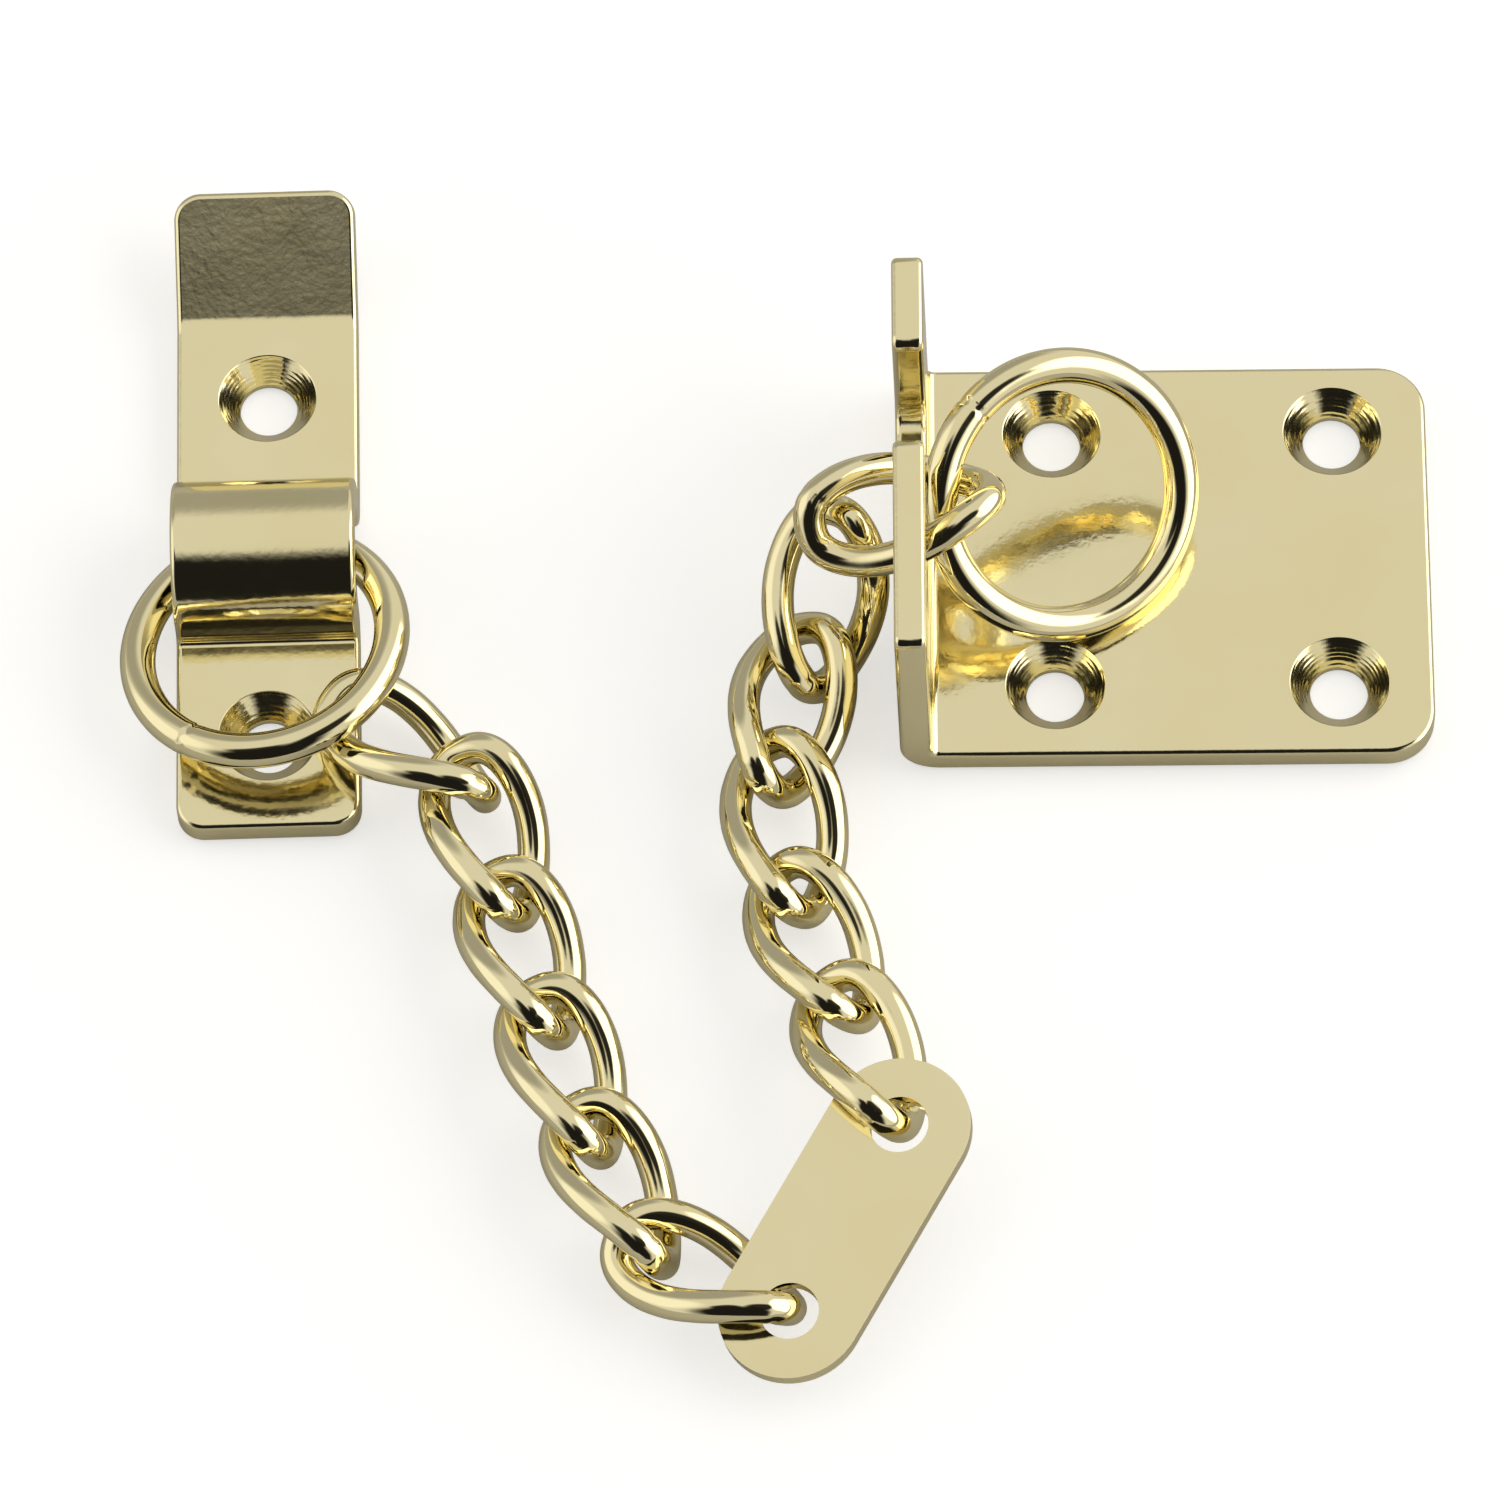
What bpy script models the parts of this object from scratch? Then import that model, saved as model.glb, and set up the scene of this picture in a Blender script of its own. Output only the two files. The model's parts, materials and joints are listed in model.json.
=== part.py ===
"""Door chain guard: slotted angle bracket, end ring, twelve curb links, joining tag, strap ring and strap.

Metres, +Z up. The guard lies on its back: both brackets rest on the plane z = 0 and the chain hangs
loose between them. The origin is the centre of the back face of the slotted bracket.
"""
import math

import bmesh
import bpy
from mathutils import Matrix, Vector

MM = 0.001

# slotted angle bracket
BRACKET_LONG = 50.8
BRACKET_WIDE = 41.6
PLATE_THICK = 3.0
FLANGE_TALL = 26.1
FLANGE_LEAN = math.radians(1.2)
BEND_RADIUS = 2.3
PLATE_CORNER = 4.6
FLANGE_CORNER = 1.0
BRACKET_HOLE_PITCH = 27.0
BRACKET_HOLES_MIDDLE = (2.9, 0.2)

# bayonet slot in the flange, measured along the flange from its south end and up from the back face
SLOT_RUN = (8.5, 31.6)
SLOT_MOUTH = (22.0, 31.6)
SLOT_FLOOR = 13.0
FINGER_UNDERSIDE = 19.8

# countersunk screw holes
HOLE_RADIUS = 2.75
SINK_RADIUS = 4.75
SINK_DEPTH = 2.5

# strap bracket: lengths are along the strap from the middle of its hump
STRAP_WIDE = 17.5
STRAP_CORNER = 2.6
STRAP_FOOT = -27.3
STRAP_BEND = 27.2
TONGUE_LONG = 13.2
TONGUE_RISE = math.radians(27)
HUMP_REACH = 6.0
HUMP_TALL = 11.5
STRAP_HOLES = (-17.7, 18.7)
STRAP_PLACE = (-85.8, -0.3)
STRAP_TURN = math.radians(1.3)
TUNNEL_MIDDLE = 5.0

# wire rings
RING_RADIUS = 12.35
RING_WIRE = 1.7

# twisted curb links
LINK_LONG = 20.5
LINK_WIDE = 12.3
LINK_WIRE = 1.6
LINK_TWIST = math.radians(88)
PIVOT_REACH = LINK_LONG / 2 - LINK_WIRE

# joining tag
TAG_HOLE_PITCH = 20.6
TAG_HOLE_RADIUS = 2.75
TAG_WIDE = 13.6
TAG_LONG = 33.8
TAG_THICK = 1.4

# how each link lies: the middle of its bow nearer the bracket in mm, then heading, dip and roll in degrees
LINKS_LAID = {
    "b5": ((-31.6, 0.4, 13.1), (-97, 37, -13)),
    "b4": ((-34, -8, 4.9), (-102, 0, -15)),
    "b3": ((-37.5, -20.3, 4.8), (-82, 3, -11)),
    "b2": ((-36.8, -33, 3.8), (-67, -4, -11)),
    "b1": ((-32, -45, 4.5), (-71, -11, -16)),
    "a6": ((-36.1, -78.4, 4.9), (154, 2, 20)),
    "a5": ((-48.1, -73.5, 4.8), (116, 0, 29)),
    "a4": ((-53.9, -62.3, 4.8), (109, 0, 26)),
    "a3": ((-58.1, -50, 4.6), (108, 1, 23)),
    "a2": ((-61.9, -37.7, 4.2), (106, -4, 20)),
    "a1": ((-64.7, -25.4, 4.8), (145, -2, 32)),
}
SLOT_LINK_MIDDLE = (-25.2, -1.4, 16.2)
SLOT_LINK_TURN = (9.4, -4.4, 0)
END_RING_PIVOT = (-16.7, 0.0, 16.9)
END_RING_MIDDLE = (-9.9, 1.8, 12.9)
END_RING_TILT = (32.4, 25.6)
STRAP_RING_MIDDLE = (-85.7, -10.0, 6.3)
STRAP_RING_TILT = (-9.3, -9.1)
TAG_FIRST_HOLE = (-25.7, -61.2, 7.2)
TAG_TURN = (-120, 5.5, 5.8)

RING_SEGMENTS = 52
RING_SIDES = 12
LINK_SEGMENTS = 34
ARC_STEP = math.radians(15)


def clear_scene():
    for item in list(bpy.data.objects):
        bpy.data.objects.remove(item, do_unlink=True)


def new_collection(name):
    group = bpy.data.collections.new(name)
    bpy.context.scene.collection.children.link(group)
    return group


def brass(name, colour, roughness):
    material = bpy.data.materials.new(name)
    material.use_nodes = True
    shader = material.node_tree.nodes["Principled BSDF"]
    shader.inputs["Base Color"].default_value = (*colour, 1.0)
    shader.inputs["Roughness"].default_value = roughness
    shader.inputs["Metallic"].default_value = 1.0
    return material


def filleted(corners):
    """Turn (x, y, fillet radius) corners into a list of points with each corner rounded."""
    points = []
    for number, (x, y, radius) in enumerate(corners):
        here = Vector((x, y))
        if radius == 0:
            points.append(here)
            continue
        to_last = (Vector(corners[number - 1][:2]) - here).normalized()
        to_next = (Vector(corners[(number + 1) % len(corners)][:2]) - here).normalized()
        opening = to_last.angle(to_next)
        tangent = radius / math.tan(opening / 2)
        middle = here + (to_last + to_next).normalized() * radius / math.sin(opening / 2)
        start = here + to_last * tangent - middle
        sweep = math.pi - opening
        if start.cross(to_last) > 0:
            sweep = -sweep
        steps = max(2, round(abs(sweep) / ARC_STEP))
        for step in range(steps + 1):
            angle = -sweep * step / steps
            points.append(middle + Matrix.Rotation(-angle, 2) @ start)
    return [point for number, point in enumerate(points) if (point - points[number - 1]).length > 0.05]


def strip_outline(centre_line, thickness):
    """Outline of a bent strip of even thickness, from the corners of its centre line."""
    line = filleted(centre_line)
    left = []
    right = []
    for number, point in enumerate(line):
        before = line[max(number - 1, 0)]
        after = line[min(number + 1, len(line) - 1)]
        arriving = (point - before) if number > 0 else (after - point)
        leaving = (after - point) if number < len(line) - 1 else (point - before)
        along = (arriving.normalized() + leaving.normalized()).normalized()
        across = Vector((-along.y, along.x))
        reach = thickness / 2 / max(across.dot(Vector((-arriving.y, arriving.x)).normalized()), 0.5)
        left.append(point + across * reach)
        right.append(point - across * reach)
    return left + right[::-1]


def slab(name, outlines, half_thickness):
    """Flat prism from closed outlines in mm; inner outlines become holes."""
    flat = bpy.data.curves.new(name, "CURVE")
    flat.dimensions = "2D"
    flat.fill_mode = "BOTH"
    flat.extrude = half_thickness * MM
    for outline in outlines:
        spline = flat.splines.new("POLY")
        spline.points.add(len(outline) - 1)
        for point, (x, y) in zip(spline.points, outline):
            point.co = (x * MM, y * MM, 0.0, 1.0)
        spline.use_cyclic_u = True
    return curve_to_mesh(name, flat)


def curve_to_mesh(name, curve):
    holder = bpy.data.objects.new(name + "_curve", curve)
    bpy.context.scene.collection.objects.link(holder)
    graph = bpy.context.evaluated_depsgraph_get()
    mesh = bpy.data.meshes.new_from_object(holder.evaluated_get(graph))
    bpy.data.objects.remove(holder, do_unlink=True)
    mesh.name = name
    shape = bmesh.new()
    shape.from_mesh(mesh)
    bmesh.ops.remove_doubles(shape, verts=shape.verts, dist=0.00001)
    bmesh.ops.recalc_face_normals(shape, faces=shape.faces)
    shape.to_mesh(mesh)
    shape.free()
    mesh.shade_flat()
    return mesh


def add_object(name, mesh, group, material=None):
    item = bpy.data.objects.new(name, mesh)
    group.objects.link(item)
    if material:
        mesh.materials.clear()
        mesh.materials.append(material)
    return item


def smooth_round(item):
    item.data.shade_smooth()
    item.data.set_sharp_from_angle(angle=math.radians(35))


def turned_cutter(name, profile):
    """Solid of revolution about Z from (radius, height) points in mm."""
    shape = bmesh.new()
    verts = [shape.verts.new((radius * MM, 0.0, height * MM)) for radius, height in profile]
    edges = [shape.edges.new(pair) for pair in zip(verts, verts[1:])]
    bmesh.ops.spin(
        shape, geom=verts + edges, cent=(0, 0, 0), axis=(0, 0, 1), angle=2 * math.pi, steps=24, use_merge=True
    )
    bmesh.ops.remove_doubles(shape, verts=shape.verts, dist=0.00001)
    bmesh.ops.recalc_face_normals(shape, faces=shape.faces)
    mesh = bpy.data.meshes.new(name)
    shape.to_mesh(mesh)
    shape.free()
    return mesh


def sink_cutter(name):
    slope = (SINK_RADIUS - HOLE_RADIUS) / SINK_DEPTH
    overshoot = 0.6
    profile = [
        (0.0, -1.0),
        (HOLE_RADIUS, -1.0),
        (HOLE_RADIUS, PLATE_THICK - SINK_DEPTH),
        (SINK_RADIUS + slope * overshoot, PLATE_THICK + overshoot),
        (0.0, PLATE_THICK + overshoot),
    ]
    return turned_cutter(name, profile)


def cut(item, tool, cutters, operation="DIFFERENCE"):
    tool.hide_render = True
    tool.display_type = "WIRE"
    cutters.objects.link(tool)
    tool.parent = item
    step = item.modifiers.new(tool.name, "BOOLEAN")
    step.operation = operation
    step.solver = "EXACT"
    step.object = tool


def sink_holes(item, places, cutters):
    for number, (x, y) in enumerate(places):
        tool = bpy.data.objects.new(f"{item.name}_sink_{number}", sink_cutter("sink"))
        tool.location = (x * MM, y * MM, 0.0)
        cut(item, tool, cutters)


def rounded_rectangle(x_range, y_range, radii):
    """Corner points of a rectangle whose four corners (from the low one, anticlockwise) are rounded."""
    low_x, high_x = x_range
    low_y, high_y = y_range
    corners = [(low_x, low_y), (high_x, low_y), (high_x, high_y), (low_x, high_y)]
    return filleted([(x, y, radius) for (x, y), radius in zip(corners, radii)])


def make_bracket(group, cutters, material):
    half = PLATE_THICK / 2
    west = -BRACKET_LONG / 2
    centre_line = [
        (BRACKET_LONG / 2, half, 0),
        (west + half, half, BEND_RADIUS),
        (west + half - math.tan(FLANGE_LEAN) * FLANGE_TALL, FLANGE_TALL, 0),
    ]
    mesh = slab("slot_bracket", [strip_outline(centre_line, PLATE_THICK)], BRACKET_WIDE / 2)
    mesh.transform(Matrix.Rotation(math.radians(90), 4, "X"))
    bracket = add_object("slot_bracket", mesh, group, material)

    plan = rounded_rectangle(
        (west - 10, BRACKET_LONG / 2 - 0.02), (-BRACKET_WIDE / 2 + 0.02, BRACKET_WIDE / 2 - 0.02),
        (0, PLATE_CORNER, PLATE_CORNER, 0),
    )
    plan_tool = bpy.data.objects.new("bracket_plan", slab("bracket_plan", [plan], 40))
    cut(bracket, plan_tool, cutters, "INTERSECT")

    side = rounded_rectangle(
        (-BRACKET_WIDE / 2 + 0.04, BRACKET_WIDE / 2 - 0.04), (-5, FLANGE_TALL - 0.05),
        (0, 0, FLANGE_CORNER, FLANGE_CORNER),
    )
    side_mesh = slab("flange_side", [side], 40)
    side_mesh.transform(upright_along_y())
    cut(bracket, bpy.data.objects.new("flange_side", side_mesh), cutters, "INTERSECT")

    slot_mesh = slab("flange_slot", [slot_outline()], 3.5)
    slot_mesh.transform(upright_along_y())
    slot_tool = bpy.data.objects.new("flange_slot", slot_mesh)
    slot_tool.location = ((west + half) * MM, 0.0, 0.0)
    cut(bracket, slot_tool, cutters)

    middle_x, middle_y = BRACKET_HOLES_MIDDLE
    reach = BRACKET_HOLE_PITCH / 2
    places = [(middle_x + sx * reach, middle_y + sy * reach) for sx in (-1, 1) for sy in (-1, 1)]
    sink_holes(bracket, places, cutters)
    return bracket


def upright_along_y():
    """Takes a prism drawn flat in XY so that its X runs along world Y and its Y runs up."""
    return Matrix(((0, 0, 1, 0), (1, 0, 0, 0), (0, 1, 0, 0), (0, 0, 0, 1)))


def slot_outline():
    south = -BRACKET_WIDE / 2
    run_start, run_end = (south + reach for reach in SLOT_RUN)
    mouth_start, mouth_end = (south + reach for reach in SLOT_MOUTH)
    lip = FLANGE_TALL - 0.05
    return filleted([
        (run_start, SLOT_FLOOR, 3.2),
        (run_end, SLOT_FLOOR, 2.5),
        (mouth_end, lip, 1.2),
        (mouth_end + 2, lip + 0.01, 0),
        (mouth_end + 2, lip + 5, 0),
        (mouth_start - 2, lip + 5, 0),
        (mouth_start - 2, lip + 0.01, 0),
        (mouth_start, lip, 1.2),
        (mouth_start, FINGER_UNDERSIDE, 1.0),
        (run_start, FINGER_UNDERSIDE, 3.2),
    ])


def make_strap(group, cutters, material):
    half = PLATE_THICK / 2
    tongue_end = (
        STRAP_BEND + TONGUE_LONG * math.cos(TONGUE_RISE),
        half + TONGUE_LONG * math.sin(TONGUE_RISE),
    )
    centre_line = [
        (STRAP_FOOT, half, 0),
        (-HUMP_REACH, half, 2.2),
        (-HUMP_REACH, HUMP_TALL, HUMP_REACH - 0.01),
        (HUMP_REACH, HUMP_TALL, HUMP_REACH - 0.01),
        (HUMP_REACH, half, 2.2),
        (STRAP_BEND, half, 5.0),
        (*tongue_end, 0),
    ]
    mesh = slab("strap_bracket", [strip_outline(centre_line, PLATE_THICK)], STRAP_WIDE / 2)
    mesh.transform(upright_along_y())
    strap = add_object("strap_bracket", mesh, group, material)
    pivot = bpy.data.objects.new("strap_pivot", None)
    group.objects.link(pivot)
    pivot.location = (STRAP_PLACE[0] * MM, STRAP_PLACE[1] * MM, TUNNEL_MIDDLE * MM)
    pivot.rotation_euler = (0.0, 0.0, STRAP_TURN)
    strap.parent = pivot
    strap.location = (0.0, 0.0, -TUNNEL_MIDDLE * MM)

    plan = rounded_rectangle(
        (-STRAP_WIDE / 2 + 0.02, STRAP_WIDE / 2 - 0.02), (STRAP_FOOT + 0.02, tongue_end[0] - 0.02),
        (STRAP_CORNER,) * 4,
    )
    plan_tool = bpy.data.objects.new("strap_plan", slab("strap_plan", [plan], 40))
    cut(strap, plan_tool, cutters, "INTERSECT")
    sink_holes(strap, [(0.0, place) for place in STRAP_HOLES], cutters)
    return strap


def hang_from(item, name, place, group):
    """Parent an object that is already placed to a new empty at a point in mm."""
    pivot = bpy.data.objects.new(name, None)
    group.objects.link(pivot)
    pivot.location = [value * MM for value in place]
    item.parent = pivot
    item.location = item.location - pivot.location


def make_ring(name, middle, tilt, group, material):
    bpy.ops.mesh.primitive_torus_add(
        major_segments=RING_SEGMENTS, minor_segments=RING_SIDES,
        major_radius=RING_RADIUS * MM, minor_radius=RING_WIRE * MM,
    )
    ring = bpy.context.active_object
    for holder in list(ring.users_collection):
        holder.objects.unlink(ring)
    group.objects.link(ring)
    ring.name = name
    ring.data.name = name
    ring.data.materials.append(material)
    ring.location = [value * MM for value in middle]
    ring.rotation_euler = (math.radians(tilt[0]), math.radians(tilt[1]), 0.0)
    smooth_round(ring)
    return ring


def link_mesh(name, reach):
    """Closed oval of wire with its two sides wound about its long axis; the pivot bow is at the origin."""
    half_long = LINK_LONG / 2 - LINK_WIRE
    half_wide = LINK_WIDE / 2 - LINK_WIRE
    wire = bpy.data.curves.new(name, "CURVE")
    wire.dimensions = "3D"
    wire.bevel_depth = LINK_WIRE * MM
    wire.bevel_resolution = 3
    spline = wire.splines.new("POLY")
    spline.points.add(LINK_SEGMENTS - 1)
    for number, point in enumerate(spline.points):
        angle = 2 * math.pi * number / LINK_SEGMENTS
        along = half_long * math.cos(angle)
        side = half_wide * math.copysign(abs(math.sin(angle)) ** 0.72, math.sin(angle))
        wind = -LINK_TWIST * along / (2 * half_long)
        point.co = (
            (along + reach) * MM, side * math.cos(wind) * MM, side * math.sin(wind) * MM, 1.0,
        )
    spline.use_cyclic_u = True
    return curve_to_mesh(name, wire)


def make_link(name, pivot, turn, reach, group, material):
    link = add_object(name, link_mesh(name, reach), group, material)
    link.location = [value * MM for value in pivot]
    heading, dip, roll = (math.radians(value) for value in turn)
    link.rotation_euler = (roll, dip, heading)
    smooth_round(link)
    return link


def circle(x, y, radius):
    return [
        (x + radius * math.cos(step * math.pi / 14), y + radius * math.sin(step * math.pi / 14))
        for step in range(28)
    ]


def make_tag(group, material):
    """Tag with its first hole at the origin and its second along +X."""
    end_reach = (TAG_LONG - TAG_WIDE) / 2
    middle = TAG_HOLE_PITCH / 2
    radius = TAG_WIDE / 2
    outline = []
    for step in range(25):
        angle = -math.pi / 2 + math.pi * step / 24
        outline.append((middle + end_reach + radius * math.cos(angle), radius * math.sin(angle)))
    for step in range(25):
        angle = math.pi / 2 + math.pi * step / 24
        outline.append((middle - end_reach + radius * math.cos(angle), radius * math.sin(angle)))
    outlines = [outline, circle(0, 0, TAG_HOLE_RADIUS), circle(TAG_HOLE_PITCH, 0, TAG_HOLE_RADIUS)]
    tag = add_object("tag_plate", slab("tag_plate", outlines, TAG_THICK / 2), group, material)
    tag.location = [value * MM for value in TAG_FIRST_HOLE]
    heading, dip, roll = (math.radians(value) for value in TAG_TURN)
    tag.rotation_euler = (roll, dip, heading)
    return tag


def build():
    clear_scene()
    group = new_collection("door_chain_guard")
    cutters = new_collection("cutters")
    plate_brass = brass("plate_brass", (0.80, 0.71, 0.45), 0.2)
    ring_brass = brass("ring_brass", (0.80, 0.70, 0.42), 0.14)
    link_brass = brass("link_brass", (0.80, 0.69, 0.40), 0.16)
    tag_brass = brass("tag_brass", (0.82, 0.74, 0.48), 0.22)

    make_bracket(group, cutters, plate_brass)
    make_strap(group, cutters, plate_brass)
    end_ring = make_ring("end_ring", END_RING_MIDDLE, END_RING_TILT, group, ring_brass)
    hang_from(end_ring, "end_ring_pivot", END_RING_PIVOT, group)
    make_ring("strap_ring", STRAP_RING_MIDDLE, STRAP_RING_TILT, group, ring_brass)
    make_link("chain_link_b6", SLOT_LINK_MIDDLE, SLOT_LINK_TURN, 0.0, group, link_brass)
    for label, (pivot, turn) in LINKS_LAID.items():
        make_link(f"chain_link_{label}", pivot, turn, PIVOT_REACH, group, link_brass)
    make_tag(group, tag_brass)


build()
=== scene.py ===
import json
import math
import random

import bmesh
import bpy
import numpy as np
from mathutils import Matrix, Vector, noise


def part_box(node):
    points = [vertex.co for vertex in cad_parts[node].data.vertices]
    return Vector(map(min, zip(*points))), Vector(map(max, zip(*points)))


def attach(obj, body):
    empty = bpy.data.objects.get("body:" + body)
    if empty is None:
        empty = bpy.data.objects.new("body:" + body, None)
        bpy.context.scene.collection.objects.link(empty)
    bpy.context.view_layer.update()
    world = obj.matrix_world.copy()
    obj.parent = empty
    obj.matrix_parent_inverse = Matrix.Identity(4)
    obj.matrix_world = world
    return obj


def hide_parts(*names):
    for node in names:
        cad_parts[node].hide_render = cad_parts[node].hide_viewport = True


MM = 0.001

# camera
CAMERA_PLACE = (-0.02447, -0.43793, 0.84469)
CAMERA_RIGHT = (0.99983, -0.00073, -0.01839)
CAMERA_UP = (0.00883, 0.89571, 0.44460)
CAMERA_LENS = 238.0
CAMERA_SENSOR = 36.0

# 3 mm strip that both brackets are pressed from
STRIP_THICK = 3.0
EDGE_ROUND = 0.55
BEND_STEPS = 14
SAME_POINT = 0.005
SHARP_FROM = math.radians(38)

# slotted bracket, in mm along its flat strip
BRACKET_BEND = 2.3
FLANGE_LEAN = math.radians(1.2)
PLATE_CORNER = 4.6
FLANGE_CORNER = 1.0
BRACKET_HOLE_PITCH = 27.0
BRACKET_HOLES_MIDDLE = (2.9, 0.2)
SLOT_RUN = (8.5, 31.6)
SLOT_MOUTH_START = 22.0
SLOT_CORNER = 3.2
SLOT_END_CORNER = 2.5
FINGER_CORNER = 1.0
MOUTH_CORNER = 1.2
SLOT_FLOOR = 13.0
FINGER_UNDERSIDE = 19.8

# strap, in mm along the strap from the middle of its hump
STRAP_WIDE = 17.5
STRAP_CORNER = 2.6
STRAP_FOOT = -27.3
STRAP_BEND = 27.2
TONGUE_LONG = 13.2
TONGUE_RISE = math.radians(27)
TONGUE_BEND = 5.0
HUMP_REACH = 6.0
HUMP_TALL = 11.5
HUMP_ROOT = 2.2
STRAP_HOLES = (-17.7, 18.7)
TUNNEL_MIDDLE = 5.0

# countersunk holes
HOLE_RADIUS = 2.75
SINK_RADIUS = 4.75
SINK_DEPTH = 2.5
SINK_LIP = 0.18
SINK_RIPPLE = 0.014
SINK_RAGGED = 0.014

# rings and links, lengths in mm
RING_RADIUS = 12.35
RING_WIRE = 1.7
LINK_LONG = 20.5
LINK_WIDE = 12.3
LINK_WIRE = 1.6
LINK_TWIST = math.radians(88)
LINK_SQUARENESS = 0.72

# links are drawn thinner than their wire by this much, so that swinging links clear each other
WIRE_SLACK = 0.055

# weld and seam marks: heights and depths in mm, widths and lean in steps along the wire, and the
# weld's place as a share of the way round the link
WELD_PLACE = 0.06
WELD_BEAD = 0.04
WELD_NICK = 0.08
BEAD_WIDTH = 3.2
NICK_WIDTH = 1.2
SEAM_GROOVE = 0.16
SEAM_NIP = 0.03
GROOVE_WIDTH = 0.55
NIP_WIDTH = 6.0
SEAM_LEAN = 0.8
LINK_LUMPS = 0.022
RING_LUMPS = 0.012

# tag
TAG_HOLE_PITCH = 20.6
TAG_HOLE_RADIUS = 2.75
TAG_WIDE = 13.6
TAG_LONG = 33.8
TAG_THICK = 1.4
TAG_EDGE_ROUND = 0.22

# which way each ring's seam faces
SEAM_TOWARDS = {"end_ring": Vector((-0.72, 0.62, 0.0)), "strap_ring": Vector((-0.52, -0.85, 0.0))}


def compass(azimuth, elevation):
    """Unit vector from degrees east of north and degrees above the floor."""
    turn, rise = math.radians(azimuth), math.radians(elevation)
    return Vector((math.sin(turn) * math.cos(rise), math.cos(turn) * math.cos(rise), math.sin(rise)))


# studio light, each patch as (towards, full within degrees, gone beyond degrees, change):
# sky patches add light and room patches take away that share of it
SKY_LIGHT = 0.74
SKY_PATCHES = [
    (compass(86, 24), 30, 40, 1.25),
    (compass(270, 25), 18, 32, 0.3),
]
ROOM_PATCHES = [
    (compass(188, 30), 27, 45, 1.0),
    (compass(185, 2), 18, 30, 1.0),
    (compass(140, 60), 14, 23, 0.97),
    (compass(218, 58), 10, 18, 0.95),
    (compass(335, 16), 22, 40, 0.5),
]
DARKEST = 0.012
SKY_COLOUR = (1.0, 0.985, 0.96, 1.0)

# floor, dropped by some mm so that it does not flicker through the undersides
FLOOR_DROP = 0.4
FLOOR_COLOUR = (0.62, 0.61, 0.59, 1.0)
FLOOR_GLOW = 0.62

# brass plating: two tints, mm of waviness, then for each kind its roughness (smooth, worn),
# orange peel (mm deep, scale) and hairline grain (mm deep, scales)
BRASS_PALE = (0.93, 0.84, 0.52)
BRASS_DEEP = (0.91, 0.81, 0.47)
WAVINESS = 0.05
BRASS_LOOKS = {
    "plate_brass": {"rough": (0.09, 0.13), "peel": (0.012, 1500.0), "grain": (0.002, (700.0, 60.0, 700.0))},
    "ring_brass": {"rough": (0.04, 0.08), "peel": (0.004, 900.0), "grain": (0.001, (500.0, 500.0, 500.0))},
    "link_brass": {"rough": (0.04, 0.09), "peel": (0.006, 900.0), "grain": (0.001, (90.0, 700.0, 700.0))},
    "tag_brass": {"rough": (0.06, 0.11), "peel": (0.006, 1500.0), "grain": (0.002, (90.0, 600.0, 600.0))},
}


# ---------------------------------------------------------------- frame helpers


def node_points(name):
    return np.array([vertex.co for vertex in frame["nodes"][name].data.vertices])


def principal_frame(name):
    """A node's middle and its two longest principal directions, longest first."""
    points = node_points(name)
    middle = (points.min(axis=0) + points.max(axis=0)) / 2 if name == "tag_plate" else points.mean(axis=0)
    spread = points - points.mean(axis=0)
    _, axes = np.linalg.eigh(spread.T @ spread)
    first, second = Vector(axes[:, 2]), Vector(axes[:, 1])
    return Vector(middle), first, second


def frame_matrix(middle, first, second):
    third = first.cross(second)
    matrix = Matrix((first, second, third)).transposed().to_4x4()
    matrix.translation = middle
    return matrix


# ---------------------------------------------------------------- materials


class Nodes:
    """Short hand for wiring a shader tree."""

    def __init__(self, tree):
        self.tree = tree

    def add(self, kind, **settings):
        node = self.tree.nodes.new(kind)
        for key, value in settings.items():
            setattr(node, key, value)
        return node

    def wire(self, source, target):
        self.tree.links.new(source, target)

    def value_or_wire(self, socket, value):
        if hasattr(value, "is_linked"):
            self.wire(value, socket)
        else:
            socket.default_value = value

    def math(self, operation, first, second):
        node = self.add("ShaderNodeMath", operation=operation)
        self.value_or_wire(node.inputs[0], first)
        self.value_or_wire(node.inputs[1], second)
        return node.outputs[0]

    def stretched(self, vector, scale):
        node = self.add("ShaderNodeMapping")
        node.inputs["Scale"].default_value = scale
        self.wire(vector, node.inputs["Vector"])
        return node.outputs[0]

    def noise(self, vector, scale, detail, roughness=0.5):
        node = self.add("ShaderNodeTexNoise")
        node.inputs["Scale"].default_value = scale
        node.inputs["Detail"].default_value = detail
        node.inputs["Roughness"].default_value = roughness
        self.wire(vector, node.inputs["Vector"])
        return node.outputs["Fac"]

    def remap(self, value, low, high, out_low, out_high, smooth=False):
        node = self.add("ShaderNodeMapRange", interpolation_type="SMOOTHSTEP" if smooth else "LINEAR")
        limits = {"From Min": low, "From Max": high, "To Min": out_low, "To Max": out_high}
        for socket, number in limits.items():
            node.inputs[socket].default_value = number
        self.wire(value, node.inputs["Value"])
        return node.outputs["Result"]

    def bump(self, height, distance, normal=None):
        node = self.add("ShaderNodeBump")
        node.inputs["Strength"].default_value = 1.0
        node.inputs["Distance"].default_value = distance
        self.wire(height, node.inputs["Height"])
        if normal is not None:
            self.wire(normal, node.inputs["Normal"])
        return node.outputs["Normal"]


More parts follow.
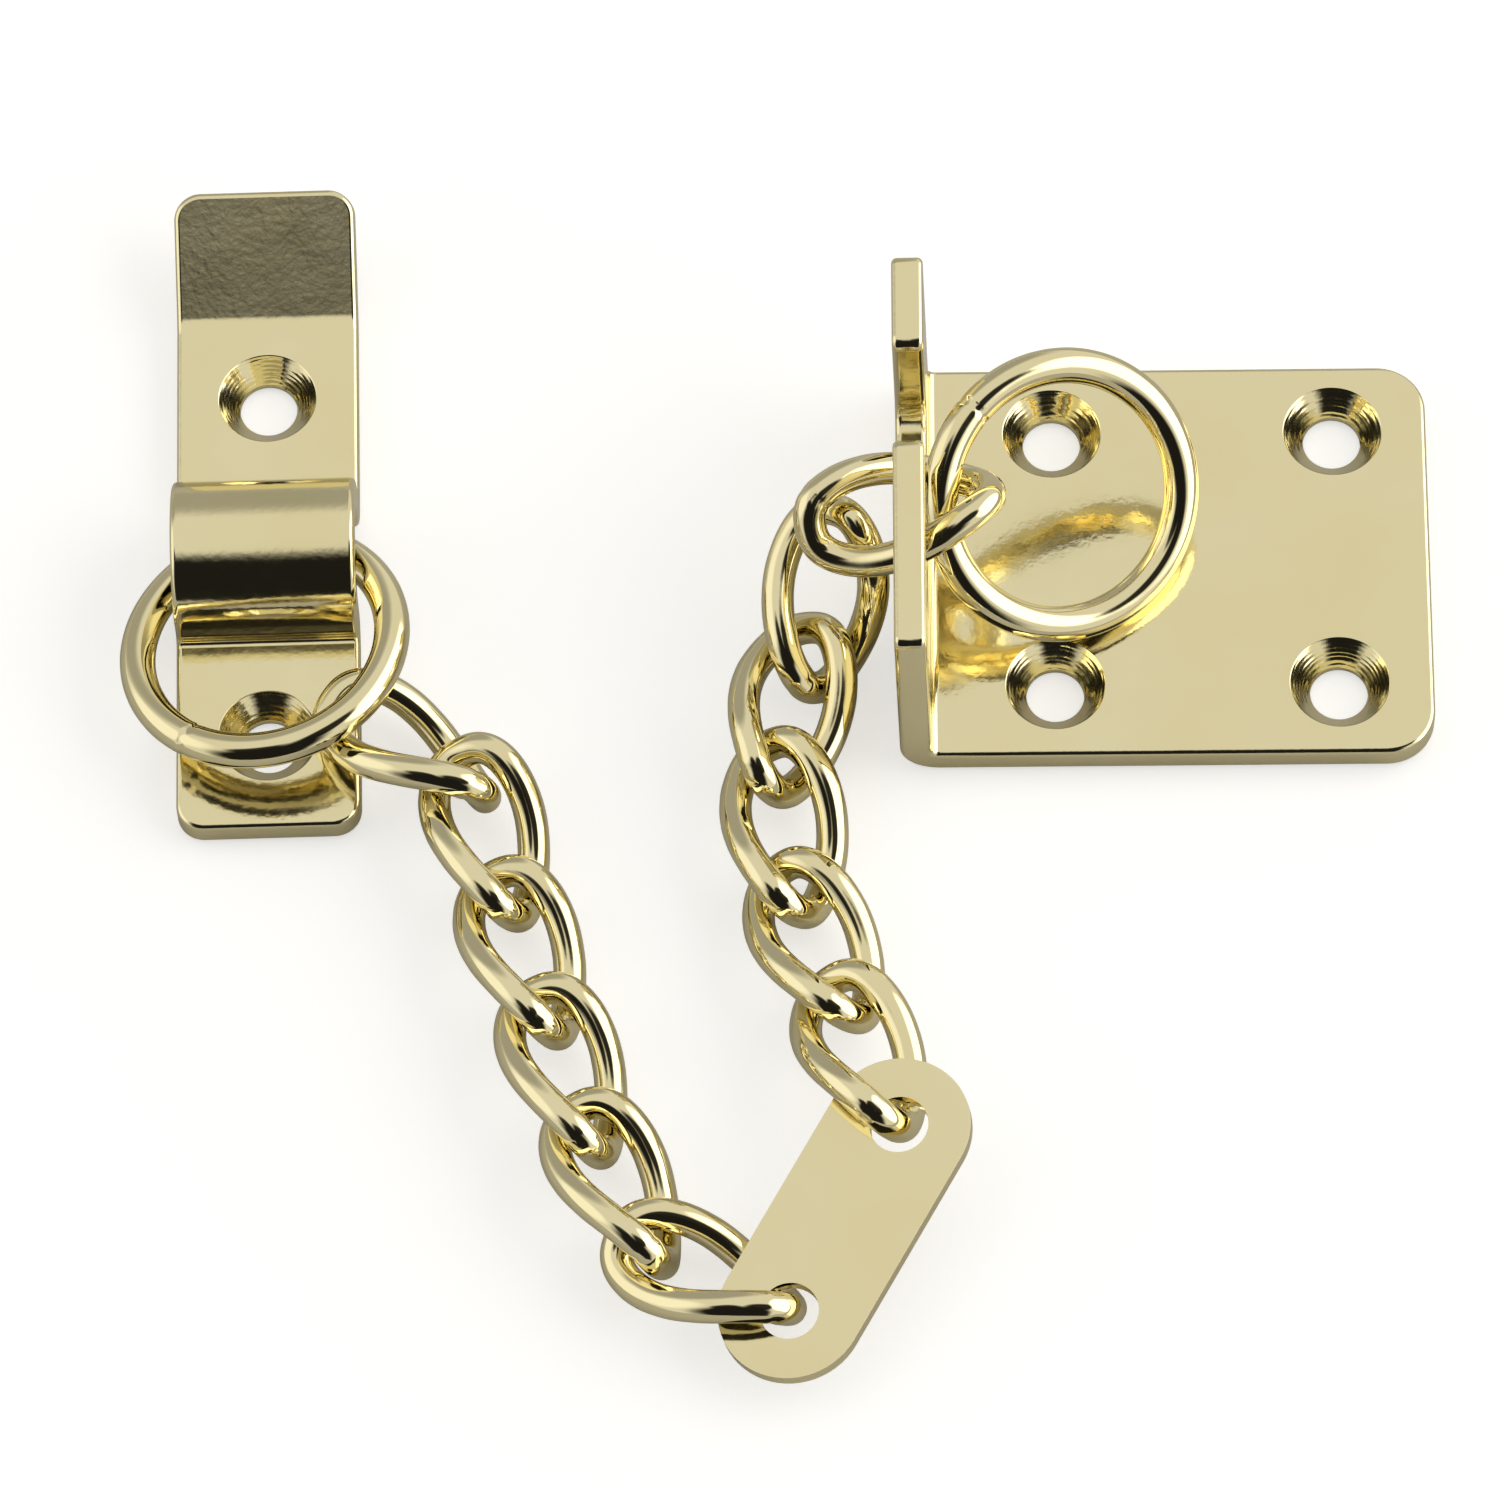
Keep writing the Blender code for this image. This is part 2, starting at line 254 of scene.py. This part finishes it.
def brass(name, rough, peel, grain):
    """Polished brass plate: tint drift, hairline scratches, orange peel and a slow waviness."""
    smooth_rough, worn_rough = rough
    peel_depth, peel_scale = peel
    grain_depth, grain_scale = grain
    material = bpy.data.materials.new(name)
    material.use_nodes = True
    nodes = Nodes(material.node_tree)
    shader = material.node_tree.nodes["Principled BSDF"]
    shader.inputs["Metallic"].default_value = 1.0
    place = nodes.add("ShaderNodeTexCoord").outputs["Object"]

    drift = nodes.noise(place, scale=90.0, detail=3.0)
    tint = nodes.add("ShaderNodeMix", data_type="RGBA")
    tint.inputs["A"].default_value = (*BRASS_PALE, 1.0)
    tint.inputs["B"].default_value = (*BRASS_DEEP, 1.0)
    nodes.wire(nodes.remap(drift, 0.3, 0.7, 0.0, 1.0), tint.inputs["Factor"])
    nodes.wire(tint.outputs["Result"], shader.inputs["Base Color"])

    smear = nodes.noise(place, scale=260.0, detail=4.0, roughness=0.65)
    hairlines = nodes.noise(nodes.stretched(place, grain_scale), scale=1.0, detail=3.0, roughness=0.6)
    wear = nodes.remap(smear, 0.35, 0.75, smooth_rough, worn_rough)
    wear = nodes.math("ADD", wear, nodes.remap(hairlines, 0.55, 0.8, 0.0, 0.06))
    nodes.wire(wear, shader.inputs["Roughness"])

    pitting = nodes.noise(place, scale=peel_scale, detail=2.0, roughness=0.45)
    slow = nodes.noise(place, scale=160.0, detail=1.0)
    normal = nodes.bump(slow, distance=WAVINESS * MM)
    normal = nodes.bump(pitting, distance=peel_depth * MM, normal=normal)
    normal = nodes.bump(hairlines, distance=grain_depth * MM, normal=normal)
    nodes.wire(normal, shader.inputs["Normal"])
    return material


def make_materials():
    return {name: brass(name, **look) for name, look in BRASS_LOOKS.items()}


# ---------------------------------------------------------------- pieces


def finish_piece(name, mesh, node, material, matrix=None):
    piece = bpy.data.objects.new(name, mesh)
    bpy.context.scene.collection.objects.link(piece)
    mesh.materials.clear()
    mesh.materials.append(materials[material])
    if matrix is not None:
        piece.matrix_world = matrix
    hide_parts(node)
    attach(piece, frame_body(node))
    return piece


def frame_body(node):
    return next(body for body, nodes in frame["record"]["behaviour"]["bodies"].items() if node in nodes)


def tube_mesh(name, path, radius_at, sides):
    """Closed tube along a closed path of points; radius_at(step, angle) gives its radius in mm."""
    count = len(path)
    tangents = [(path[(i + 1) % count] - path[i - 1]).normalized() for i in range(count)]
    across = tangents[0].orthogonal().normalized()
    acrosses = [across]
    for tangent in tangents[1:] + tangents[:1]:
        across = (across - tangent * across.dot(tangent)).normalized()
        acrosses.append(across)
    slip = acrosses[0].cross(acrosses[-1]).dot(tangents[0])
    slip = math.atan2(slip, acrosses[0].dot(acrosses[-1]))
    points = []
    for step, (place, tangent) in enumerate(zip(path, tangents)):
        first = Matrix.Rotation(-slip * step / count, 3, tangent) @ acrosses[step]
        second = tangent.cross(first)
        for side in range(sides):
            angle = 2 * math.pi * side / sides
            reach = radius_at(step, angle)
            points.append((place + (first * math.cos(angle) + second * math.sin(angle)) * reach) * MM)
    faces = []
    for step in range(count):
        for side in range(sides):
            here, there = step * sides, (step + 1) % count * sides
            after = (side + 1) % sides
            faces.append((here + side, there + side, there + after, here + after))
    mesh = bpy.data.meshes.new(name)
    mesh.from_pydata(points, [], [face[::-1] for face in faces])
    mesh.shade_smooth()
    return mesh


def mark(distance, width):
    """Share of a mark's full height at a distance from its middle."""
    return math.exp(-((distance / width) ** 2))


def lumps(step, angle, along, coarseness, offset):
    """Slow unevenness of drawn wire, between -1 and 1."""
    return noise.noise(Vector((math.cos(angle), math.sin(angle), step * along)) * coarseness + offset)


def link_path(steps):
    half_long = LINK_LONG / 2 - LINK_WIRE
    half_wide = LINK_WIDE / 2 - LINK_WIRE
    path = []
    for step in range(steps):
        angle = 2 * math.pi * step / steps
        along = half_long * math.cos(angle)
        side = half_wide * math.copysign(abs(math.sin(angle)) ** LINK_SQUARENESS, math.sin(angle))
        wind = -LINK_TWIST * along / (2 * half_long)
        path.append(Vector((along, side * math.cos(wind), side * math.sin(wind))))
    return evenly(path, steps)


def evenly(path, steps, passes=6):
    """The same closed path with its points at equal distances, rounded off by a few passes."""
    closed = np.array([*path, path[0]])
    lengths = np.r_[0, np.cumsum(np.linalg.norm(np.diff(closed, axis=0), axis=1))]
    at = np.linspace(0, lengths[-1], steps, endpoint=False)
    spaced = np.stack([np.interp(at, lengths, closed[:, axis]) for axis in range(3)], axis=1)
    for _ in range(passes):
        spaced = (np.roll(spaced, 1, axis=0) + 2 * spaced + np.roll(spaced, -1, axis=0)) / 4
    return [Vector(point) for point in spaced]


def make_links(steps=160, sides=28):
    tag_middle = sum(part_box("tag_plate"), Vector()) / 2
    path = link_path(steps)
    weld_step = round(steps * WELD_PLACE)
    names = [name for name in frame["nodes"] if name.startswith("chain_link_")]
    for number, name in enumerate(sorted(names)):
        middle, first, second = principal_frame(name)
        if first.dot(tag_middle - middle) < 0:
            first = -first
        matrix = frame_matrix(middle, first, second)
        turned = frame_matrix(middle, first, -second)
        if (turned @ path[weld_step]).z > (matrix @ path[weld_step]).z:
            matrix = turned
        dice = random.Random(40 + number)
        flash_angle = dice.uniform(0, 2 * math.pi)
        offset = Vector((dice.uniform(0, 50), number * 7.0, 3.0))

        def radius_at(step, angle):
            from_weld = (step - weld_step + steps / 2) % steps - steps / 2
            lopsided = 1 + 0.9 * math.cos(angle - flash_angle)
            two_sided = 1 + 0.5 * math.sin(2 * angle + flash_angle)
            bead = WELD_BEAD * mark(from_weld, BEAD_WIDTH) * lopsided
            nick = -WELD_NICK * mark(from_weld, NICK_WIDTH) * two_sided
            drawn = LINK_LUMPS * lumps(step, angle, 0.12, 0.9, offset)
            return LINK_WIRE - WIRE_SLACK + bead + nick + drawn

        mesh = tube_mesh(name + "_wire", path, radius_at, sides)
        finish_piece(name + "_wire", mesh, name, "link_brass", matrix)


def make_rings(steps=260, sides=36):
    path = []
    for step in range(steps):
        angle = 2 * math.pi * step / steps
        path.append(Vector((RING_RADIUS * math.cos(angle), RING_RADIUS * math.sin(angle), 0.0)))
    for number, (name, towards) in enumerate(SEAM_TOWARDS.items()):
        middle, first, second = principal_frame(name)
        normal = first.cross(second)
        seam = (towards - normal * towards.dot(normal)).normalized()
        matrix = frame_matrix(middle, seam, normal.cross(seam))
        offset = Vector((number * 31.0, 5.0, 9.0))

        def radius_at(step, angle):
            from_seam = (step + steps / 2) % steps - steps / 2
            lean = from_seam - SEAM_LEAN * math.sin(angle)
            groove = -SEAM_GROOVE * mark(lean, GROOVE_WIDTH)
            nip = -SEAM_NIP * mark(lean, NIP_WIDTH)
            return RING_WIRE + groove + nip + RING_LUMPS * lumps(step, angle, 0.1, 0.7, offset)

        mesh = tube_mesh(name + "_wire", path, radius_at, sides)
        finish_piece(name + "_wire", mesh, name, "ring_brass", matrix)


# ---------------------------------------------------------------- stamped strip


def filleted(corners, arc_step=math.radians(6)):
    """Turn (x, y, fillet radius) corners into a list of points with each corner rounded."""
    points = []
    for number, (x, y, radius) in enumerate(corners):
        here = Vector((x, y))
        to_last = (Vector(corners[number - 1][:2]) - here).normalized()
        to_next = (Vector(corners[(number + 1) % len(corners)][:2]) - here).normalized()
        opening = to_last.angle(to_next)
        middle = here + (to_last + to_next).normalized() * radius / math.sin(opening / 2)
        start = here + to_last * radius / math.tan(opening / 2) - middle
        sweep = math.pi - opening
        if start.cross(to_last) > 0:
            sweep = -sweep
        steps = max(2, round(abs(sweep) / arc_step))
        for step in range(steps + 1):
            points.append(middle + Matrix.Rotation(sweep * step / steps, 2) @ start)
    return points


def circle(x, y, radius, steps=72):
    turn = 2 * math.pi / steps
    return [Vector((x + radius * math.cos(i * turn), y + radius * math.sin(i * turn))) for i in range(steps)]


def flat_sheet(name, outlines, thickness):
    """Object of even thickness about z = 0 from closed outlines in mm; inner outlines become holes."""
    flat = bpy.data.curves.new(name, "CURVE")
    flat.dimensions = "2D"
    flat.fill_mode = "BOTH"
    flat.extrude = thickness / 2 * MM
    for outline in outlines:
        spline = flat.splines.new("POLY")
        spline.points.add(len(outline) - 1)
        for point, (x, y) in zip(spline.points, outline):
            point.co = (x * MM, y * MM, 0.0, 1.0)
        spline.use_cyclic_u = True
    holder = bpy.data.objects.new(name, flat)
    bpy.context.scene.collection.objects.link(holder)
    mesh = evaluated(holder)
    bpy.data.objects.remove(holder, do_unlink=True)
    shape = bmesh.new()
    shape.from_mesh(mesh)
    bmesh.ops.remove_doubles(shape, verts=shape.verts, dist=SAME_POINT * MM)
    bmesh.ops.dissolve_limit(
        shape, angle_limit=math.radians(0.5), verts=shape.verts, edges=shape.edges, delimit=set()
    )
    bmesh.ops.recalc_face_normals(shape, faces=shape.faces)
    shape.to_mesh(mesh)
    shape.free()
    sheet = bpy.data.objects.new(name, mesh)
    bpy.context.scene.collection.objects.link(sheet)
    return sheet


def evaluated(item):
    graph = bpy.context.evaluated_depsgraph_get()
    return bpy.data.meshes.new_from_object(item.evaluated_get(graph))


def round_edges(sheet, width):
    step = sheet.modifiers.new("rounded_edges", "BEVEL")
    step.width = width * MM
    step.segments = 5
    step.limit_method = "ANGLE"
    step.angle_limit = math.radians(60)


def sink_profile(dice, rings=26):
    """(radius, height) steps up a countersink, with the ripples that the tool leaves in its cone."""
    half = STRIP_THICK / 2
    ripple = [dice.uniform(-1, 1) for _ in range(rings)]
    profile = [(HOLE_RADIUS, -half - 1.0), (HOLE_RADIUS, half - SINK_DEPTH)]
    for ring in range(1, rings):
        share = ring / rings
        reach = HOLE_RADIUS + (SINK_RADIUS - HOLE_RADIUS) * share
        profile.append((reach, half - SINK_DEPTH * (1 - share) + SINK_RIPPLE * ripple[ring]))
    # the rim flares a little at the face, then well clear above it
    profile.append((SINK_RADIUS, half - 0.02))
    profile.append((SINK_RADIUS + SINK_LIP * 0.5, half + 0.03))
    profile.append((SINK_RADIUS + SINK_LIP * 4, half + 0.8))
    return profile


def sink_cutter(x, y, seed, sides=96):
    """Countersink cutter at a place on the flat strip, a little ragged round each turn of its cone."""
    profile = sink_profile(random.Random(seed))
    shape = bmesh.new()
    loops = []
    wobble = Vector((seed * 3.0, 0, 0))
    for level, (reach, height) in enumerate(profile):
        loop = []
        for side in range(sides):
            angle = 2 * math.pi * side / sides
            ragged = 0.0
            if 1 < level < len(profile) - 3:
                ragged = SINK_RAGGED * noise.noise(
                    Vector((math.cos(angle) * 2.2, math.sin(angle) * 2.2, level * 0.8)) + wobble
                )
            place = Vector((reach * math.cos(angle), reach * math.sin(angle), height + ragged))
            loop.append(shape.verts.new((place + Vector((x, y, 0))) * MM))
        loops.append(loop)
    for low, high in zip(loops, loops[1:]):
        for side in range(sides):
            after = (side + 1) % sides
            shape.faces.new((low[side], low[after], high[after], high[side]))
    shape.faces.new(loops[0][::-1])
    shape.faces.new(loops[-1])
    mesh = bpy.data.meshes.new("sink")
    shape.to_mesh(mesh)
    shape.free()
    cutter = bpy.data.objects.new("sink", mesh)
    bpy.context.scene.collection.objects.link(cutter)
    return cutter


def cut_strip_at(sheet, places):
    """Edges straight across the strip, so that it can bend there."""
    shape = bmesh.new()
    shape.from_mesh(sheet.data)
    for place in places:
        bmesh.ops.bisect_plane(
            shape, geom=shape.verts[:] + shape.edges[:] + shape.faces[:], dist=0.0000001,
            plane_co=(place * MM, 0, 0), plane_no=(1, 0, 0),
        )
    shape.to_mesh(sheet.data)
    shape.free()


def bend_lines(runs):
    """Distances along a strip at which its bends need an edge across. Runs are (length, turn) pairs."""
    places = []
    reached = 0.0
    for length, turn in runs:
        if turn:
            steps = max(6, round(abs(turn) / math.radians(90) * BEND_STEPS))
            places += [reached + length * step / steps for step in range(steps + 1)]
        reached += length
    return places


def bent(point, runs, start):
    """Where a point of the flat strip (x along it, z above its middle) lies once it is bent."""
    along, height = start
    heading = 0.0
    left = point.x / MM
    offset = point.z / MM
    for length, turn in runs:
        last = (length, turn) == runs[-1]
        part = left if last else min(left, length)
        radius = length / turn if turn else 0.0
        swing = part / radius if turn else 0.0
        if turn:
            along += radius * (math.sin(heading + swing) - math.sin(heading))
            height -= radius * (math.cos(heading + swing) - math.cos(heading))
        else:
            along += part * math.cos(heading)
            height += part * math.sin(heading)
        heading += swing
        left -= part
        if left <= 1e-9 and not last:
            break
    return along - offset * math.sin(heading), height + offset * math.cos(heading)


def stamped(name, outlines, holes, runs, start, matrix):
    """Strip cut flat, its edges rounded and its holes sunk, then bent along its runs."""
    sheet = flat_sheet(name, outlines, STRIP_THICK)
    cut_strip_at(sheet, bend_lines(runs))
    round_edges(sheet, EDGE_ROUND)
    cutters = [sink_cutter(x, y, number + len(name)) for number, (x, y) in enumerate(holes)]
    for cutter in cutters:
        step = sheet.modifiers.new("sink", "BOOLEAN")
        step.operation = "DIFFERENCE"
        step.solver = "EXACT"
        step.object = cutter
    mesh = evaluated(sheet)
    for item in [sheet, *cutters]:
        bpy.data.objects.remove(item, do_unlink=True)
    for vertex in mesh.vertices:
        along, height = bent(vertex.co, runs, start)
        vertex.co = Vector((along * MM, vertex.co.y, height * MM))
    mesh.transform(matrix)
    return mesh


def soften(piece):
    piece.data.shade_smooth()
    piece.data.set_sharp_from_angle(angle=SHARP_FROM)
    step = piece.modifiers.new("even_shading", "WEIGHTED_NORMAL")
    step.keep_sharp = True
    step.weight = 100


def bracket_outline(south, north, top, lift):
    """Flat outline from the far end of the plate to the flange's free edge; lift turns height into run."""
    run_start, run_end = (south + reach for reach in SLOT_RUN)
    mouth_start = south + SLOT_MOUTH_START
    finger, floor = FINGER_UNDERSIDE + lift, SLOT_FLOOR + lift
    outline = filleted([
        (0, south, PLATE_CORNER),
        (top, south, FLANGE_CORNER),
        (top, mouth_start, MOUTH_CORNER),
        (finger, mouth_start, FINGER_CORNER),
        (finger, run_start, SLOT_CORNER),
        (floor, run_start, SLOT_CORNER),
        (floor, run_end, SLOT_END_CORNER),
        (top, run_end, MOUTH_CORNER),
        (top, north, FLANGE_CORNER),
        (0, north, PLATE_CORNER),
    ])
    return [Vector((x, -y)) for x, y in outline][::-1]


def make_bracket():
    low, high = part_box("slot_bracket")
    east = high.x / MM
    south, north = low.y / MM, high.y / MM
    tall = high.z / MM
    half = STRIP_THICK / 2
    turn = math.radians(90) - FLANGE_LEAN
    corner_x = -east + half
    tangent = BRACKET_BEND * math.tan(turn / 2)
    plate_run = east - corner_x - tangent
    bend_run = BRACKET_BEND * turn
    flange_run = (tall - half) / math.cos(FLANGE_LEAN) - tangent
    lift = plate_run + bend_run - tangent - half
    outline = bracket_outline(south, north, plate_run + bend_run + flange_run, lift)
    middle_x, middle_y = BRACKET_HOLES_MIDDLE
    reach = BRACKET_HOLE_PITCH / 2
    holes = [(east - middle_x - sx * reach, -(middle_y + sy * reach)) for sx in (-1, 1) for sy in (-1, 1)]
    runs = [(plate_run, 0.0), (bend_run, turn), (flange_run, 0.0)]
    facing_west = Matrix(((-1, 0, 0, east * MM), (0, -1, 0, 0), (0, 0, 1, 0), (0, 0, 0, 1)))
    mesh = stamped("slot_bracket_plate", [outline], holes, runs, (0.0, half), facing_west)
    soften(finish_piece("slot_bracket_plate", mesh, "slot_bracket", "plate_brass"))


def make_strap():
    half = STRIP_THICK / 2
    quarter = math.radians(90)
    rise = HUMP_TALL - half - HUMP_REACH - HUMP_ROOT
    ease = TONGUE_BEND * math.tan(TONGUE_RISE / 2)
    runs = [
        (-HUMP_REACH - HUMP_ROOT - STRAP_FOOT, 0.0),
        (HUMP_ROOT * quarter, quarter),
        (rise, 0.0),
        (HUMP_REACH * 2 * quarter, -2 * quarter),
        (rise, 0.0),
        (HUMP_ROOT * quarter, quarter),
        (STRAP_BEND - ease - HUMP_REACH - HUMP_ROOT, 0.0),
        (TONGUE_BEND * TONGUE_RISE, TONGUE_RISE),
        (TONGUE_LONG - ease, 0.0),
    ]
    total = sum(length for length, _ in runs)
    wide = STRAP_WIDE / 2
    corners = [(0, -wide), (total, -wide), (total, wide), (0, wide)]
    outline = filleted([(x, y, STRAP_CORNER) for x, y in corners])
    before_hump = sum(length for length, _ in runs[:6])
    first_hole, second_hole = STRAP_HOLES
    holes = [(first_hole - STRAP_FOOT, 0.0), (before_hump + second_hole - HUMP_REACH - HUMP_ROOT, 0.0)]
    joint = next(joint for joint in frame["joints"] if joint["child"] == "strap_bracket")
    across = Vector(joint["axis"]).normalized()
    up = Vector((0, 0, 1))
    matrix = Matrix((up.cross(across), -across, up)).transposed().to_4x4()
    matrix.translation = Vector(joint["pos_m"]) - up * TUNNEL_MIDDLE * MM
    mesh = stamped("strap_bracket_plate", [outline], holes, runs, (STRAP_FOOT, half), matrix)
    soften(finish_piece("strap_bracket_plate", mesh, "strap_bracket", "plate_brass"))


def make_tag():
    middle, first, second = principal_frame("tag_plate")
    reach = (TAG_LONG - TAG_WIDE) / 2
    radius = TAG_WIDE / 2
    outline = []
    for side in (1, -1):
        for degrees in range(-90, 91, 6):
            angle = math.radians(degrees)
            x, y = reach + radius * math.cos(angle), radius * math.sin(angle)
            outline.append(Vector((side * x, side * y)))
    holes = [circle(side * TAG_HOLE_PITCH / 2, 0, TAG_HOLE_RADIUS) for side in (-1, 1)]
    sheet = flat_sheet("tag_plate_sheet", [outline, *holes], TAG_THICK)
    round_edges(sheet, TAG_EDGE_ROUND)
    mesh = evaluated(sheet)
    bpy.data.objects.remove(sheet, do_unlink=True)
    matrix = frame_matrix(middle, first, second)
    soften(finish_piece("tag_plate_sheet", mesh, "tag_plate", "tag_brass", matrix))


# ---------------------------------------------------------------- stage


def make_camera():
    data = bpy.data.cameras.new("camera")
    data.lens = CAMERA_LENS
    data.sensor_width = CAMERA_SENSOR
    data.clip_start = 0.05
    data.clip_end = 50.0
    camera = bpy.data.objects.new("camera", data)
    bpy.context.scene.collection.objects.link(camera)
    right = Vector(CAMERA_RIGHT)
    up = Vector(CAMERA_UP)
    matrix = Matrix((right, up, right.cross(up))).transposed().to_4x4()
    matrix.translation = Vector(CAMERA_PLACE)
    camera.matrix_world = matrix
    bpy.context.scene.camera = camera


def make_floor():
    shape = bmesh.new()
    bmesh.ops.create_circle(shape, cap_ends=True, radius=6.0, segments=96)
    mesh = bpy.data.meshes.new("floor")
    shape.to_mesh(mesh)
    shape.free()
    floor = bpy.data.objects.new("floor", mesh)
    floor.location.z = -FLOOR_DROP * MM
    bpy.context.scene.collection.objects.link(floor)
    material = bpy.data.materials.new("floor")
    material.use_nodes = True
    nodes = Nodes(material.node_tree)
    shader = material.node_tree.nodes["Principled BSDF"]
    shader.inputs["Base Color"].default_value = FLOOR_COLOUR
    shader.inputs["Roughness"].default_value = 0.8
    shader.inputs["Specular IOR Level"].default_value = 0.0
    shader.inputs["Emission Color"].default_value = (1.0, 1.0, 0.99, 1.0)
    seen = nodes.add("ShaderNodeLightPath").outputs["Is Camera Ray"]
    nodes.wire(nodes.math("MULTIPLY", seen, FLOOR_GLOW), shader.inputs["Emission Strength"])
    mesh.materials.append(material)


def make_world():
    """White studio sky with soft boxes and the dark room behind the camera."""
    world = bpy.data.worlds.new("studio")
    bpy.context.scene.world = world
    world.use_nodes = True
    nodes = Nodes(world.node_tree)
    background = world.node_tree.nodes["Background"]
    direction = nodes.add("ShaderNodeTexCoord").outputs["Generated"]

    def patch(towards, inner, outer):
        """1 within inner degrees of a direction, 0 beyond outer degrees."""
        dot = nodes.add("ShaderNodeVectorMath", operation="DOT_PRODUCT")
        nodes.wire(direction, dot.inputs[0])
        dot.inputs[1].default_value = towards
        return nodes.remap(
            dot.outputs["Value"], math.cos(math.radians(outer)), math.cos(math.radians(inner)), 0.0, 1.0, True
        )

    light = SKY_LIGHT
    for towards, inner, outer, change in SKY_PATCHES:
        light = nodes.math("ADD", nodes.math("MULTIPLY", patch(towards, inner, outer), change), light)
    for towards, inner, outer, depth in ROOM_PATCHES:
        shade = nodes.math("MULTIPLY", patch(towards, inner, outer), depth)
        light = nodes.math("MULTIPLY", nodes.math("SUBTRACT", 1.0, shade), light)
    light = nodes.math("MAXIMUM", light, DARKEST)
    nodes.wire(light, background.inputs["Strength"])
    background.inputs["Color"].default_value = SKY_COLOUR


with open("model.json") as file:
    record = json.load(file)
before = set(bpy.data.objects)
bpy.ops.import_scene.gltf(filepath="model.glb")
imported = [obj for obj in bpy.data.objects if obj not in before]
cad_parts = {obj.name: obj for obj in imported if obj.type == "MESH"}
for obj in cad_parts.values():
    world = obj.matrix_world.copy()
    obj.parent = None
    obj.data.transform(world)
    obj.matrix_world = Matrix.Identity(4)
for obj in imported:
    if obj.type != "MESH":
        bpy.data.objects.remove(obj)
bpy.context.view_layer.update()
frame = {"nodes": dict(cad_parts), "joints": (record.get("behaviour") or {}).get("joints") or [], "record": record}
materials = make_materials()
make_camera()
make_links()
make_rings()
make_bracket()
make_strap()
make_tag()
make_floor()
make_world()
bpy.context.scene.view_settings.view_transform = "Standard"
